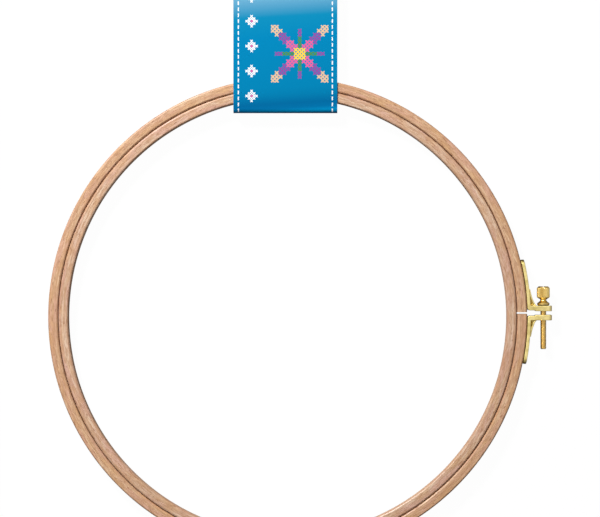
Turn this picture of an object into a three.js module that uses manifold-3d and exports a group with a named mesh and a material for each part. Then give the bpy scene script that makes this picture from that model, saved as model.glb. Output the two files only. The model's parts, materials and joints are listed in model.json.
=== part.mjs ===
// An embroidery hoop: a closed inner ring of beech inside a split outer ring, a brass-plated screw clamp on
// the split, and a folded card slipped over both rings. Millimetres, +Z up. The hoop lies flat, the rings'
// axis upright, with the clamp on its +X side and the screw along +Y.
import * as THREE from "three";
import { mergeVertices } from "three/addons/utils/BufferGeometryUtils.js";
import Module from "manifold-3d";

const wasm = await Module();
wasm.setup();

// Rings
const outerRingRadius = 125.0; // outside of the outer ring, for a hoop sold as 25 cm
const outerRingWall = 5.1;
const innerRingWall = 5.1;
const ringHeight = 8.0;
const ringEdgeRadius = 1.0;
const ringClearance = 0.3; // between the two rings
const ringSteps = 120;
const edgeSteps = 1; // each quarter round has twice as many faces

// The split of the outer ring, a little above the rings' own centre line
const splitOffset = 1.95;
const woodGap = 1.0; // between the strip's two ends, at the clamp
const flexGap = 0.3; // the cut opposite the clamp, where the strip flexes

// Brackets
const seatClearance = 0.3; // between the wood and the bracket's base
const bracketWidth = 7.4;
const baseThickness = 1.7;
const grooveDepth = 0.6; // the base is a shallow channel
const railWidth = 1.2; // each side of the channel
const upperBaseLength = 27.5; // from the split to the tip
const lowerBaseLength = 26.3;
const tipRim = 1.6; // the channel stops this far short of the tip
const tipCornerRadius = 2.6;
const earGap = 1.93;
const earThickness = 2.85;
const earReach = 4.3; // from the screw's axis to the ear's tip
const earCornerRadius = 1.6;
const earChamfer = 0.35;
const earRootRadius = 1.3;
const gussetLength = 12.4; // from the split to where the gusset runs out
const gussetReach = 4.9; // from the wood to the gusset's top, at the ear
const gussetStep = 0.5; // how far it stands over the rails where it runs out
const gussetThickness = 1.8; // it is a web at the middle of the bracket's width
const channelStart = 0.4; // from the ear
const arcSteps = 5; // each arc of a bracket has twice as many faces

// Thumb screw, an M3
const screwReach = 8.7; // from the outside of the wood to the screw's axis
const screwRadius = 1.5;
const screwLength = 23.0; // from under the flange to the end
const screwChamfer = 0.4;
const upperEarClearance = 0.2; // round the shank
const lowerEarClearance = 0.3; // wider, because the screw leans a little as the clamp opens
const flangeClearance = 0.3; // between the flange and the upper ear
const flangeRadius = 3.25;
const flangeRim = 0.7;
const flangeHeight = 2.0;
const neckRadius = 1.5;
const neckLength = 1.7;
const headRadius = 3.35;
const headHeight = 6.1;
const headChamfer = 0.9;
const headFootChamfer = 0.5;
const knurlTeeth = 30;
const knurlDepth = 0.25;
const slotWidth = 1.0;
const slotDepth = 0.8;
const screwSteps = 30;

// Nails, two in each bracket, in the channel between the gusset and the tip
const gussetToNail = 1.4; // from the gusset to the first nail's head
const upperNailToRim = 2.1; // from the second nail's head to the channel's end
const lowerNailToRim = 0.9;
const nailRadius = 0.6;
const nailHeadRadius = 1.4;
const nailHeadHeight = 0.45;
const nailLength = 4.6; // under the head
const nailPoint = 1.2;
const nailClearance = 0.12;
const nailSteps = 12;

// Folded card
const cardWidth = 54.2;
const cardHeight = 80.0;
const cardThickness = 0.4;
const cardShift = -1.2; // its middle lies this far from the rings' middle, along X
const cardInset = 8.35; // its fold lies this far inside the inner ring
const cardClearance = 0.3; // between the card and the rings, and at the crease
const foldRadius = 2.4; // outside of each of its two bends

// Places that follow from the sizes above
const outerRingBore = outerRingRadius - outerRingWall;
const innerRingRadius = outerRingBore - ringClearance;
const innerRingBore = innerRingRadius - innerRingWall;
const ringBase = cardThickness + cardClearance;
const ringTop = ringBase + ringHeight;
const ringMiddle = ringBase + ringHeight / 2;
const baseRadius = outerRingRadius + seatClearance;
const railRadius = baseRadius + baseThickness;
const grooveRadius = railRadius - grooveDepth;
const screwX = outerRingRadius + screwReach;
const earTipX = screwX + earReach;
const earNear = earGap / 2;
const earFar = earNear + earThickness;
const foldY = innerRingBore - cardInset;
const cardTopY = foldY + cardHeight;
const panelY = foldY + foldRadius; // where the card's bends meet its flat panels
const innerFoldRadius = foldRadius - cardThickness;
const frontLow = ringTop + cardClearance;
const frontHigh = frontLow + cardThickness;
const upperBendZ = frontHigh - foldRadius; // middle of the bend towards the front panel

const UPPER = 1;
const LOWER = -1;

const beech = { roughness: 0.6, metalness: 0.0 };
const innerBeech = new THREE.MeshStandardMaterial({ color: "#d2a585", ...beech });
const outerBeech = new THREE.MeshStandardMaterial({ color: "#cf9d77", ...beech });
const brassPlate = new THREE.MeshStandardMaterial({ color: "#e4cf86", roughness: 0.35, metalness: 0.9 });
const turnedBrass = new THREE.MeshStandardMaterial({ color: "#d9a63c", roughness: 0.3, metalness: 0.9 });
const steelWire = new THREE.MeshStandardMaterial({ color: "#b4afa2", roughness: 0.4, metalness: 0.9 });
const printedCard = new THREE.MeshStandardMaterial({ color: "#0583b9", roughness: 0.5, metalness: 0.0 });

/** A closed geometry as a solid that can be joined and cut. */
function solidOf(geometry) {
  const bare = new THREE.BufferGeometry();
  bare.setAttribute("position", geometry.getAttribute("position"));
  bare.setIndex(geometry.getIndex());
  const merged = mergeVertices(bare);
  const vertProperties = merged.getAttribute("position").array;
  const triVerts = new Uint32Array(merged.getIndex().array);
  return new wasm.Manifold(new wasm.Mesh({ numProp: 3, vertProperties, triVerts }));
}

/** A solid's surface as a geometry. */
function geometryOf(solid) {
  const surface = solid.getMesh();
  const geometry = new THREE.BufferGeometry();
  geometry.setAttribute("position", new THREE.BufferAttribute(surface.vertProperties, 3));
  geometry.setIndex(new THREE.BufferAttribute(surface.triVerts, 1));
  geometry.computeVertexNormals();
  return geometry;
}

function namedMesh(name, solid, material) {
  const mesh = new THREE.Mesh(geometryOf(solid), material);
  mesh.name = name;
  return mesh;
}

/** A profile of radius and height turned about the upright axis. */
function turnedUpright(profile, steps) {
  return new THREE.LatheGeometry(profile, steps).rotateX(Math.PI / 2);
}

/** A shape drawn in X and Y, made depth thick, its middle on the rings' middle height. */
function flatPrism(shape, depth, curveSegments) {
  const prism = new THREE.ExtrudeGeometry(shape, { depth, curveSegments, bevelEnabled: false });
  return prism.translate(0, 0, ringMiddle - depth / 2);
}

/** The rectangle of a ring's section, with its edges rounded, as radius and height. */
function ringProfile(innerRadius, outerRadius) {
  const edge = ringEdgeRadius;
  const quarter = Math.PI / 2;
  const profile = new THREE.Path();
  profile.absarc(outerRadius - edge, edge, edge, -quarter, 0);
  profile.absarc(outerRadius - edge, ringHeight - edge, edge, 0, quarter);
  profile.absarc(innerRadius + edge, ringHeight - edge, edge, quarter, 2 * quarter);
  profile.absarc(innerRadius + edge, edge, edge, 2 * quarter, 3 * quarter);
  profile.closePath();
  return profile.getPoints(edgeSteps);
}

function ringSolid(innerRadius, outerRadius) {
  const ring = turnedUpright(ringProfile(innerRadius, outerRadius), ringSteps);
  return solidOf(ring.translate(0, 0, ringBase));
}

/** The height in Y of a point this far from the split, on the upper or the lower side. */
function heightAt(side, distance) {
  return splitOffset + side * distance;
}

/** The angle at which a circle about the rings' axis reaches that distance from the split. */
function angleAt(side, radius, distance) {
  return Math.asin(heightAt(side, distance) / radius);
}

/** Turns a piece that was made along +Y to point away from the rings' axis, at a nail's place. */
function toNailPlace(geometry, side, distance) {
  const angle = angleAt(side, outerRingRadius, distance);
  return geometry.rotateZ(angle - Math.PI / 2).translate(0, 0, ringMiddle);
}

/** How far one side's nails are from the split: one past the gusset, one short of the channel's end. */
function nailDistances(side) {
  const channelEnd = (side === UPPER ? upperBaseLength : lowerBaseLength) - tipRim;
  const nailToRim = side === UPPER ? upperNailToRim : lowerNailToRim;
  return [gussetLength + gussetToNail + nailHeadRadius, channelEnd - nailToRim - nailHeadRadius];
}

/** The holes for one side's nails, through the bracket's base and into the wood. */
function nailHoles(side) {
  const radius = nailRadius + nailClearance;
  const low = grooveRadius - nailLength - nailClearance;
  const high = railRadius;
  const holes = nailDistances(side).map((distance) => {
    const hole = new THREE.CylinderGeometry(radius, radius, high - low, nailSteps);
    return solidOf(toNailPlace(hole.translate(0, (high + low) / 2, 0), side, distance));
  });
  return holes.reduce((all, hole) => all.add(hole));
}

/** One half of the split ring: what lies past the split, less the gap at the clamp and the nail holes. */
function halfRingSolid(side) {
  const far = 2 * outerRingRadius;
  const waste = (lowX, gap) => {
    const block = new THREE.BoxGeometry(far - lowX, 2 * far, far);
    return solidOf(block.translate((far + lowX) / 2, heightAt(side, gap / 2 - far), 0));
  };
  return ringSolid(outerRingBore, outerRingRadius)
    .subtract(waste(-far, flexGap))
    .subtract(waste(0, woodGap))
    .subtract(nailHoles(side));
}

/** A bracket without its gusset, seen from above: its base along the wood and its ear. */
function bracketShape(side, baseLength) {
  const turnsBack = side === UPPER;
  const tipAngle = angleAt(side, baseRadius, baseLength);
  const nearY = heightAt(side, earNear);
  const farY = heightAt(side, earFar);
  const rootY = heightAt(side, earNear + earRootRadius);
  const rootX = Math.sqrt(baseRadius ** 2 - nearY ** 2);
  const shape = new THREE.Shape();
  shape.absarc(0, 0, baseRadius, Math.asin(rootY / baseRadius), tipAngle, !turnsBack);
  shape.absarc(0, 0, railRadius, tipAngle, angleAt(side, railRadius, earFar), turnsBack);
  shape.lineTo(earTipX - earChamfer, farY);
  shape.lineTo(earTipX, farY - side * earChamfer);
  shape.lineTo(earTipX, nearY + side * earChamfer);
  shape.lineTo(earTipX - earChamfer, nearY);
  shape.lineTo(rootX + earRootRadius, nearY);
  shape.quadraticCurveTo(rootX, nearY, rootX, rootY);
  return shape;
}

/** The gusset, seen from above: from the middle of the base's floor to a hollow edge, and into the ear. */
function gussetShape(side) {
  const footY = heightAt(side, gussetLength);
  const footX = Math.sqrt((railRadius + gussetStep) ** 2 - footY ** 2);
  const topX = outerRingRadius + gussetReach;
  const bendY = heightAt(side, earFar + (gussetLength - earFar) / 4);
  const sunk = (earNear + earFar) / 2;
  const rootRadius = (baseRadius + grooveRadius) / 2;
  const from = angleAt(side, rootRadius, sunk);
  const to = angleAt(side, rootRadius, gussetLength);
  const shape = new THREE.Shape();
  shape.absarc(0, 0, rootRadius, from, to, side === LOWER);
  shape.lineTo(footX, footY);
  shape.quadraticCurveTo((footX + topX) / 2 - gussetStep, bendY, topX, heightAt(side, earFar));
  shape.lineTo(topX, heightAt(side, sunk));
  return shape;
}

/** The channel between the rails, from the ear to just short of the tip. */
function channelSolid(side, baseLength) {
  const turnsBack = side === UPPER;
  const clearRadius = railRadius + grooveDepth;
  const from = earFar + channelStart;
  const to = baseLength - tipRim;
  const shape = new THREE.Shape();
  const angles = (radius) => [angleAt(side, radius, from), angleAt(side, radius, to)];
  shape.absarc(0, 0, grooveRadius, ...angles(grooveRadius), !turnsBack);
  shape.absarc(0, 0, clearRadius, ...angles(clearRadius).reverse(), turnsBack);
  return solidOf(flatPrism(shape, bracketWidth - 2 * railWidth, arcSteps));
}

/** What is cut off the ear to round its end's two corners, seen along the screw. */
function earEndWaste() {
  const beyond = earTipX + bracketWidth;
  const cornerX = earTipX - earCornerRadius;
  const cornerZ = bracketWidth / 2 - earCornerRadius;
  const shape = new THREE.Shape();
  shape.moveTo(cornerX, -bracketWidth);
  shape.lineTo(beyond, -bracketWidth);
  shape.lineTo(beyond, bracketWidth);
  shape.lineTo(cornerX, bracketWidth);
  shape.absarc(cornerX, cornerZ, earCornerRadius, Math.PI / 2, 0, true);
  shape.absarc(cornerX, -cornerZ, earCornerRadius, 0, -Math.PI / 2, true);
  const depth = 4 * bracketWidth;
  const waste = new THREE.ExtrudeGeometry(shape, { depth, curveSegments: arcSteps, bevelEnabled: false });
  return solidOf(waste.rotateX(Math.PI / 2).translate(0, depth / 2, ringMiddle));
}

/** What is cut off the two corners of a bracket's tip, seen from the side. */
function tipCornerWaste(side, baseLength) {
  const tipAngle = angleAt(side, baseRadius, baseLength);
  const tip = side * railRadius * Math.sin(tipAngle);
  const half = bracketWidth / 2;
  const start = tip - tipCornerRadius;
  const corners = [1, -1].map((top) => {
    const shape = new THREE.Shape();
    shape.moveTo(start, half * top);
    shape.quadraticCurveTo(tip, half * top, tip, (half - tipCornerRadius) * top);
    shape.lineTo(tip + tipCornerRadius, (half - tipCornerRadius) * top);
    shape.lineTo(tip + tipCornerRadius, (half + tipCornerRadius) * top);
    shape.lineTo(start, (half + tipCornerRadius) * top);
    const depth = 2 * tipCornerRadius + earTipX - outerRingBore;
    const corner = new THREE.ExtrudeGeometry(shape, { depth, curveSegments: arcSteps, bevelEnabled: false });
    // The shape's first axis becomes Y, its second Z and its depth X.
    corner.rotateZ(Math.PI / 2).rotateY(Math.PI / 2);
    if (side === LOWER) corner.rotateX(Math.PI);
    return solidOf(corner.translate(outerRingBore - tipCornerRadius, 0, ringMiddle));
  });
  return corners[0].add(corners[1]);
}

function screwHole(side) {
  const radius = screwRadius + (side === UPPER ? upperEarClearance : lowerEarClearance);
  const hole = new THREE.CylinderGeometry(radius, radius, 2 * earThickness, screwSteps);
  return solidOf(hole.translate(screwX, heightAt(side, (earNear + earFar) / 2), ringMiddle));
}

function bracketSolid(side, baseLength) {
  return solidOf(flatPrism(bracketShape(side, baseLength), bracketWidth, arcSteps))
    .subtract(channelSolid(side, baseLength))
    .add(solidOf(flatPrism(gussetShape(side), gussetThickness, arcSteps)))
    .subtract(earEndWaste())
    .subtract(tipCornerWaste(side, baseLength))
    .subtract(screwHole(side))
    .subtract(nailHoles(side));
}

/** A nail with its point towards the rings' axis and its head on the floor of the bracket's channel. */
function nailSolid(side, distance) {
  const under = grooveRadius + nailClearance;
  const profile = [
    new THREE.Vector2(0, under - nailLength),
    new THREE.Vector2(nailRadius, under - nailLength + nailPoint),
    new THREE.Vector2(nailRadius, under),
    new THREE.Vector2(nailHeadRadius, under),
    new THREE.Vector2(nailHeadRadius, under + nailHeadHeight / 2),
    new THREE.Vector2(nailHeadRadius / 2, under + nailHeadHeight),
    new THREE.Vector2(0, under + nailHeadHeight),
  ];
  return solidOf(toNailPlace(new THREE.LatheGeometry(profile, nailSteps), side, distance));
}

/** The screw's head: a straight-knurled prism inside a chamfered cylinder, with a slot across its top. */
function screwHeadSolid(foot) {
  const outline = new THREE.Shape();
  for (let i = 0; i < 2 * knurlTeeth; i += 1) {
    const angle = (Math.PI * i) / knurlTeeth;
    const radius = headRadius - (i % 2) * knurlDepth;
    const point = [radius * Math.cos(angle), radius * Math.sin(angle)];
    if (i === 0) outline.moveTo(...point);
    else outline.lineTo(...point);
  }
  const knurled = new THREE.ExtrudeGeometry(outline, { depth: 2 * headHeight, bevelEnabled: false });
  knurled.rotateX(-Math.PI / 2).translate(0, foot - headHeight / 2, 0);
  const top = foot + headHeight;
  const wide = headRadius + knurlDepth;
  const envelope = [
    new THREE.Vector2(0, foot),
    new THREE.Vector2(headRadius - headFootChamfer, foot),
    new THREE.Vector2(wide, foot + headFootChamfer + knurlDepth),
    new THREE.Vector2(wide, top - headChamfer - knurlDepth),
    new THREE.Vector2(headRadius - headChamfer, top),
    new THREE.Vector2(0, top),
  ];
  const slot = new THREE.BoxGeometry(slotWidth, 2 * slotDepth, 4 * headRadius).translate(0, top, 0);
  return solidOf(knurled)
    .intersect(solidOf(new THREE.LatheGeometry(envelope, screwSteps)))
    .subtract(solidOf(slot));
}

/** The whole screw about its own axis, with the flange's seat at Y 0. */
function screwSolid() {
  const foot = flangeHeight + neckLength;
  const stem = [
    new THREE.Vector2(0, -screwLength),
    new THREE.Vector2(screwRadius - screwChamfer, -screwLength),
    new THREE.Vector2(screwRadius, screwChamfer - screwLength),
    new THREE.Vector2(screwRadius, 0),
    new THREE.Vector2(flangeRadius, 0),
    new THREE.Vector2(flangeRadius, flangeRim),
    new THREE.Vector2(neckRadius, flangeHeight),
    new THREE.Vector2(neckRadius, foot + headHeight / 2),
    new THREE.Vector2(0, foot + headHeight / 2),
  ];
  return solidOf(new THREE.LatheGeometry(stem, screwSteps)).add(screwHeadSolid(foot));
}

/** A shape drawn as Y and Z, made as long as the card is wide. */
function cardSolid(shape) {
  const depth = cardWidth;
  const panel = new THREE.ExtrudeGeometry(shape, { depth, curveSegments: arcSteps, bevelEnabled: false });
  // The shape's first axis becomes Y, its second Z and its depth X.
  panel.rotateZ(Math.PI / 2).rotateY(Math.PI / 2);
  return solidOf(panel.translate(cardShift - cardWidth / 2, 0, 0));
}

/** The angle that a bend of this radius has left to turn at a height, counted from the front panel. */
function angleLeft(radius, height) {
  return Math.acos((height - upperBendZ) / radius);
}

/** The card's back panel with the spine that stands inside the hoop, up to the crease. */
function cardBackSolid() {
  const quarter = Math.PI / 2;
  const shape = new THREE.Shape();
  shape.moveTo(cardTopY, 0);
  shape.lineTo(cardTopY, cardThickness);
  const innerEnd = quarter + angleLeft(innerFoldRadius, ringTop);
  const outerEnd = quarter + angleLeft(foldRadius, ringTop);
  shape.absarc(panelY, foldRadius, innerFoldRadius, -quarter, -2 * quarter, true);
  shape.absarc(panelY, upperBendZ, innerFoldRadius, 2 * quarter, innerEnd, true);
  shape.absarc(panelY, upperBendZ, foldRadius, outerEnd, 2 * quarter, false);
  shape.absarc(panelY, foldRadius, foldRadius, -2 * quarter, -quarter, false);
  return cardSolid(shape);
}

/** The card's front panel, a flap that turns on the crease over the spine. */
function cardFrontSolid() {
  const quarter = Math.PI / 2;
  const shape = new THREE.Shape();
  shape.moveTo(cardTopY, frontLow);
  shape.lineTo(cardTopY, frontHigh);
  const end = quarter + angleLeft(foldRadius, frontLow);
  shape.absarc(panelY, upperBendZ, foldRadius, quarter, end, false);
  return cardSolid(shape);
}

/** One half of the clamp with its half of the ring: wood, bracket and nails. */
function clampHalf(side, word, baseLength) {
  const half = new THREE.Group();
  half.add(namedMesh(`outer_ring_${word}`, halfRingSolid(side), outerBeech));
  half.add(namedMesh(`${word}_bracket`, bracketSolid(side, baseLength), brassPlate));
  nailDistances(side).forEach((distance, i) => {
    half.add(namedMesh(`${word}_nail_${i + 1}`, nailSolid(side, distance), steelWire));
  });
  return half;
}

function clampScrew() {
  const screw = namedMesh("clamp_screw", screwSolid(), turnedBrass);
  screw.position.set(screwX, heightAt(UPPER, earFar) + flangeClearance, ringMiddle);
  return screw;
}

function foldedCard() {
  const card = new THREE.Group();
  card.add(namedMesh("card_back", cardBackSolid(), printedCard));
  card.add(namedMesh("card_front", cardFrontSolid(), printedCard));
  return card;
}

const hoop = new THREE.Group();
hoop.add(namedMesh("inner_ring", ringSolid(innerRingBore, innerRingRadius), innerBeech));
hoop.add(clampHalf(LOWER, "lower", lowerBaseLength));
hoop.add(clampHalf(UPPER, "upper", upperBaseLength));
hoop.add(clampScrew());
hoop.add(foldedCard());

// The origin is the middle of the whole part's box, on the surface that it lies on.
hoop.position.set((outerRingRadius - earTipX) / 2, (outerRingRadius - cardTopY) / 2, 0);

export default hoop;
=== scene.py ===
"""Dresses the embroidery hoop: beech rings, a brass-plated screw clamp, its thumb screw and a folded card.

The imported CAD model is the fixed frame. Every piece is modelled in millimetres about the middle of the
rings, and is then put in its place in the row frame, in metres: +Z up along the rings' axis, +Y towards the
card and +X towards the clamp.
"""
import json
import logging
import math
from collections.abc import Sequence
from dataclasses import dataclass
from enum import Enum

import bmesh
import bpy
from bmesh.types import BMEdge, BMesh, BMVert
from bpy.types import Material, Node, NodeSocket, NodeTree, Object, World
from mathutils import Matrix, Vector
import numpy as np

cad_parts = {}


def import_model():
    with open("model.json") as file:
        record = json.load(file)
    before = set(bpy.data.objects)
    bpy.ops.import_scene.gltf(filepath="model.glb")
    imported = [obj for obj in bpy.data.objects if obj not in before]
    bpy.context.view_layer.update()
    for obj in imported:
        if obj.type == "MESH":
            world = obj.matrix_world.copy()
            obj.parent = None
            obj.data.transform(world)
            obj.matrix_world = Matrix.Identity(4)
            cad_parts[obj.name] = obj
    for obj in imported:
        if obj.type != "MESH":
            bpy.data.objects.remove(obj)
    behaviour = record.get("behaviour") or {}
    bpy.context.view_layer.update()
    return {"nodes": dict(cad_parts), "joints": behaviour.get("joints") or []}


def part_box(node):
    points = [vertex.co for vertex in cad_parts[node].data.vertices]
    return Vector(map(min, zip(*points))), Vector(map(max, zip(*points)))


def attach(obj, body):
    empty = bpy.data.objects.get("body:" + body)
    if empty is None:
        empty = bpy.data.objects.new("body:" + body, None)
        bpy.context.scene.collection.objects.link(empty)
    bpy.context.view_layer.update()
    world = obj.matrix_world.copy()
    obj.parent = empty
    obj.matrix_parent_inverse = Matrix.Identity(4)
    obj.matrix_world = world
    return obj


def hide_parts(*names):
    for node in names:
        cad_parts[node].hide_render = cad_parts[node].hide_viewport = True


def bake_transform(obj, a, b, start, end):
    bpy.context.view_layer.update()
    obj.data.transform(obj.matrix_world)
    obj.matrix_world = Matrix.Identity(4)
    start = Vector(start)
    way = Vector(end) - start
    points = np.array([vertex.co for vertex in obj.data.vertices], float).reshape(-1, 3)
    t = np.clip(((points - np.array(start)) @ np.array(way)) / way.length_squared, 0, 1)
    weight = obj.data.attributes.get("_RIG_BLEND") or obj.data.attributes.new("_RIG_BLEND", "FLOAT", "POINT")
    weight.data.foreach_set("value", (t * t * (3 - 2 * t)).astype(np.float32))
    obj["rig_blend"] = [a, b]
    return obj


LOG = logging.getLogger("hoop")
MM = 0.001
FULL_TURN = 2 * math.pi
QUARTER = math.pi / 2
MIDDLE = (0.0, 0.0, 0.0)
UP = (0.0, 0.0, 1.0)
DOUBLES = 0.002  # points nearer to each other than this, in millimetres, become one
SAME = 0.01  # lengths that differ by less than this, in millimetres, count as the same
ON_PLANE = 1e-5  # points nearer to a plane than this, in millimetres, lie on it
ROUND = 0.5  # the profile of a bevel that follows a circle
PAST_CARD = 1000.0  # a length in millimetres that reaches past any card
GRAIN = "grain"  # face-corner attribute: along the strip, across it and up, in millimetres
TIP_SHADE = "tip_shade"  # vertex attribute: from 0 to 1, how much painted shade darkens a metal
PRINT = "print"  # the card's UV map: across it and down it, each from 0 to 1

Colour = tuple[float, float, float, float]  # linear red, green and blue, and the opacity
CLEAR: Colour = (0.0, 0.0, 0.0, 0.0)


class Side(Enum):
    """The two sides of the outer ring's split, and the way each lies from it along Y."""

    UPPER = 1
    LOWER = -1


class Combine(Enum):
    """How two closed meshes become one."""

    JOIN = "UNION"
    CUT = "DIFFERENCE"
    KEEP_SHARED = "INTERSECT"


class Measure(Enum):
    """How a bevel's reach is given."""

    LENGTH = "OFFSET"  # in millimetres
    SHARE = "PERCENT"  # in hundredths of each edge that meets there


# Place and size, read from the frame


@dataclass(frozen=True)
class Place:
    """The middle of the rings in the row frame, in metres, about which the pieces are modelled."""

    origin: Vector

    def to_row(self) -> Matrix:
        """The transform from millimetres about the rings' middle to the row frame."""
        return Matrix.Translation(self.origin) @ Matrix.Scale(MM, 4)

    def point(self, x: float, y: float, z: float) -> Vector:
        """A point in the row frame, from its place in millimetres about the rings' middle."""
        return self.to_row() @ Vector((x, y, z))

    def box(self, *nodes: str) -> tuple[Vector, Vector]:
        """Finds the box round some CAD nodes.

        Args:
            nodes: The nodes' names.

        Returns:
            The lowest and the highest corner, in millimetres about the rings' middle.
        """
        corners = [(corner - self.origin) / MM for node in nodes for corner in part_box(node)]
        low, high = (Vector([end(axis) for axis in zip(*corners)]) for end in (min, max))
        return low, high


def place_of_rings() -> Place:
    """Finds the middle of the rings, about which the pieces are modelled, from the inner ring's node."""
    low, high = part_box("inner_ring")
    return Place((low + high) / 2)


def nearest_and_farthest(place: Place, node: Object) -> tuple[Vector, Vector]:
    """Finds the points of a node that lie nearest to the rings' axis and farthest from it.

    Args:
        place: The rings' place.
        node: The CAD object.

    Returns:
        The nearest and the farthest point, in millimetres about the rings' middle.
    """
    points = [(vert.co - place.origin) / MM for vert in node.data.vertices]
    points.sort(key=lambda point: point.xy.length)
    return points[0], points[-1]


# Meshes


def mesh_object(name: str, bm: BMesh) -> Object:
    """Makes an object of a bmesh and frees the bmesh.

    Args:
        name: The object's name.
        bm: Its mesh.

    Returns:
        The object, linked to the scene, at the origin.
    """
    mesh = bpy.data.meshes.new(name)
    bm.to_mesh(mesh)
    bm.free()
    obj = bpy.data.objects.new(name, mesh)
    bpy.context.scene.collection.objects.link(obj)
    return obj


def evaluated(obj: Object) -> BMesh:
    """Takes an object's mesh as its modifiers leave it, and removes the object.

    Args:
        obj: An object that is no longer needed.

    Returns:
        The finished mesh.
    """
    graph = bpy.context.evaluated_depsgraph_get()
    mesh = bpy.data.meshes.new_from_object(obj.evaluated_get(graph))
    bm = bmesh.new()
    bm.from_mesh(mesh)
    bpy.data.meshes.remove(mesh)
    bpy.data.objects.remove(obj)
    return bm


def combined(first: BMesh, second: BMesh, how: Combine) -> BMesh:
    """Joins, cuts or intersects two closed meshes.

    Args:
        first: The mesh that is worked on.
        second: The mesh that it is joined to or cut by.
        how: What is done.

    Returns:
        The result. Both meshes are freed.
    """
    worked = mesh_object("worked", first)
    tool = mesh_object("tool", second)
    modifier = worked.modifiers.new("combine", "BOOLEAN")
    modifier.operation = how.value
    modifier.solver = "EXACT"
    modifier.object = tool
    result = evaluated(worked)
    bpy.data.objects.remove(tool)
    return result


def closed_up(bm: BMesh) -> BMesh:
    """Fills a mesh's open rims and turns all its faces outwards.

    Args:
        bm: The mesh.

    Returns:
        The same mesh, closed.
    """
    rim = [edge for edge in bm.edges if len(edge.link_faces) == 1]
    bmesh.ops.holes_fill(bm, edges=rim, sides=0)
    bmesh.ops.recalc_face_normals(bm, faces=bm.faces)
    return bm


def outward(bm: BMesh) -> BMesh:
    """Merges a mesh's doubles and turns all its faces outwards.

    Args:
        bm: A closed mesh.

    Returns:
        The same mesh.
    """
    bmesh.ops.remove_doubles(bm, verts=bm.verts, dist=DOUBLES)
    bmesh.ops.recalc_face_normals(bm, faces=bm.faces)
    return bm


def chain(bm: BMesh, points: Sequence[Sequence[float]], closed: bool) -> list[BMVert | BMEdge]:
    """Adds points joined by edges, one after another.

    Args:
        bm: The mesh that they go into.
        points: Their places.
        closed: Whether the last is joined to the first.

    Returns:
        The new vertices and edges.
    """
    verts = [bm.verts.new(point) for point in points]
    pairs = list(zip(verts, verts[1:]))
    if closed:
        pairs.append((verts[-1], verts[0]))
    return verts + [bm.edges.new(pair) for pair in pairs]


def turned(profile: Sequence[tuple[float, float]], steps: int) -> BMesh:
    """Turns a profile about the Z axis.

    Args:
        profile: Radius and height of each point. It starts and ends on the axis.
        steps: How many faces go round.

    Returns:
        A closed mesh.
    """
    bm = bmesh.new()
    line = chain(bm, [(radius, 0.0, height) for radius, height in profile], closed=False)
    bmesh.ops.spin(bm, geom=line, cent=MIDDLE, axis=UP, angle=FULL_TURN, steps=steps, use_merge=True)
    return outward(bm)


def block(low: Sequence[float], high: Sequence[float]) -> BMesh:
    """Makes a box.

    Args:
        low: Its lowest corner.
        high: Its highest corner.

    Returns:
        A closed mesh.
    """
    bm = bmesh.new()
    middle = (Vector(low) + Vector(high)) / 2
    size = Vector(high) - Vector(low)
    bmesh.ops.create_cube(bm, size=1, matrix=Matrix.Translation(middle) @ Matrix.Diagonal((*size, 1)))
    return bm


def drawn_out(bm: BMesh, rim: Sequence[BMEdge], way: Sequence[float]) -> list[BMEdge]:
    """Draws a rim of edges out by one row of faces.

    Args:
        bm: The mesh.
        rim: The edges.
        way: How far and which way they are drawn.

    Returns:
        The new rim.
    """
    out = bmesh.ops.extrude_edge_only(bm, edges=rim)["geom"]
    moved = {item for item in out if isinstance(item, BMVert)}
    bmesh.ops.translate(bm, vec=way, verts=list(moved))
    return [item for item in out if isinstance(item, BMEdge) and moved.issuperset(item.verts)]


def bevelled(
    bm: BMesh,
    corners: Sequence[BMEdge] | Sequence[BMVert],
    reach: float,
    steps: int = 8,
    measure: Measure = Measure.LENGTH,
) -> None:
    """Rounds some of a solid's edges, or some corners of a flat outline.

    Args:
        bm: The mesh.
        corners: The edges or the vertices.
        reach: How far the curve starts from each.
        steps: How many faces or edges go round it.
        measure: How the reach is given.
    """
    bmesh.ops.bevel(
        bm,
        geom=corners,
        offset=reach,
        offset_type=measure.value,
        segments=steps,
        profile=ROUND,
        affect="VERTICES" if isinstance(corners[0], BMVert) else "EDGES",
        material=-1,
    )


def cut_flat(bm: BMesh, point: Sequence[float], outside: Sequence[float]) -> None:
    """Cuts a closed mesh off along a plane and closes the cut.

    Args:
        bm: The mesh.
        point: A point on the plane.
        outside: The plane's normal, which points at what goes.
    """
    everything = bm.verts[:] + bm.edges[:] + bm.faces[:]
    bmesh.ops.bisect_plane(
        bm, geom=everything, dist=ON_PLANE, plane_co=point, plane_no=outside, clear_outer=True
    )
    closed_up(bm)


def along_y(bm: BMesh, x: float, y: float) -> BMesh:
    """Lays down a piece that was turned about Z.

    Args:
        bm: The piece.
        x: Where its axis goes along X.
        y: Where its height 0 goes along Y.

    Returns:
        The same mesh, its axis along +Y.
    """
    laid = Matrix.Translation((x, y, 0)) @ Matrix.Rotation(-QUARTER, 4, "X")
    bmesh.ops.transform(bm, matrix=laid, verts=bm.verts)
    return bm


def finished(name: str, bm: BMesh, place: Place, materials: Sequence[Material], sharp: float) -> Object:
    """Makes a piece of a mesh in millimetres: puts it in its place, shades it and gives it its materials.

    Args:
        name: The piece's name.
        bm: Its mesh about the rings' middle.
        place: The rings' place.
        materials: Its materials, in the order of its faces' indices.
        sharp: Edges that turn by more than this many degrees stay sharp.

    Returns:
        The piece, its object at the origin.
    """
    bmesh.ops.transform(bm, matrix=place.to_row(), verts=bm.verts)
    obj = mesh_object(name, bm)
    obj.data.shade_smooth()
    obj.data.set_sharp_from_angle(angle=math.radians(sharp))
    for material in materials:
        obj.data.materials.append(material)
    LOG.info("%s: %d faces", name, len(obj.data.polygons))
    return obj


# Finishes


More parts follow.
